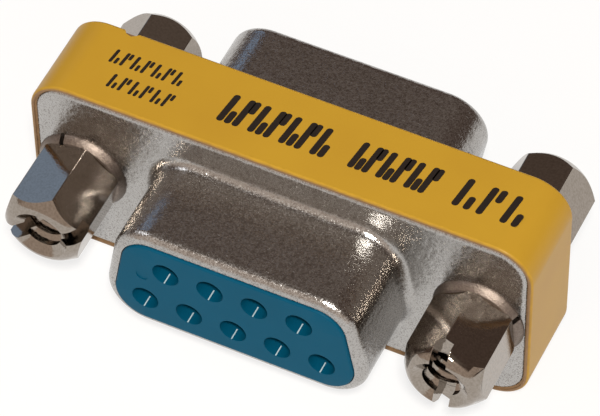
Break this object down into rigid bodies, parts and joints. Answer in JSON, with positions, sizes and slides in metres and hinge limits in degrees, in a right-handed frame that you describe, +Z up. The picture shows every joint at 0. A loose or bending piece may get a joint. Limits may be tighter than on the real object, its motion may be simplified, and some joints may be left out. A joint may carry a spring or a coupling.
{
  "type": "d-sub gender changer",
  "caption": "Slim adapter that joins a pair of D-shaped plugs: a moulded frame between metal-shelled socket connectors, clamped by hexagon screw posts.",
  "frame": {"origin": "centre of the moulded body, which is also the centre of the whole part", "axes": "+X along the flange, +Y from the front connector to the rear one along the plugs' way in, +Z up; the front connector has the narrow side of its D up"},
  "size_m": [0.0314, 0.0174, 0.0132],
  "materials": {
    "body_plastic": "glossy yellow moulding",
    "shell_plate": "dull tin plate with fine scratches",
    "insulator_plastic": "satin blue moulding",
    "board_laminate": "green laminate",
    "post_plate": "bright nickel plate",
    "contact_metal": "gold flash on copper alloy"
  },
  "bodies": {
    "root": {"body": "body_plastic", "front_shell": "shell_plate", "rear_shell": "shell_plate", "front_insulator": "insulator_plastic", "rear_insulator": "insulator_plastic", "wiring_board": "board_laminate", "front_left_post": "post_plate", "front_right_post": "post_plate", "front_left_washer": "post_plate", "front_right_washer": "post_plate", "rear_left_post": "post_plate", "rear_right_post": "post_plate", "front_contact_1": "contact_metal", "front_contact_2": "contact_metal", "front_contact_3": "contact_metal", "front_contact_4": "contact_metal", "front_contact_5": "contact_metal", "front_contact_6": "contact_metal", "front_contact_7": "contact_metal", "front_contact_8": "contact_metal", "front_contact_9": "contact_metal", "rear_contact_1": "contact_metal", "rear_contact_2": "contact_metal", "rear_contact_3": "contact_metal", "rear_contact_4": "contact_metal", "rear_contact_5": "contact_metal", "rear_contact_6": "contact_metal", "rear_contact_7": "contact_metal", "rear_contact_8": "contact_metal", "rear_contact_9": "contact_metal"}
  },
  "joints": []
}
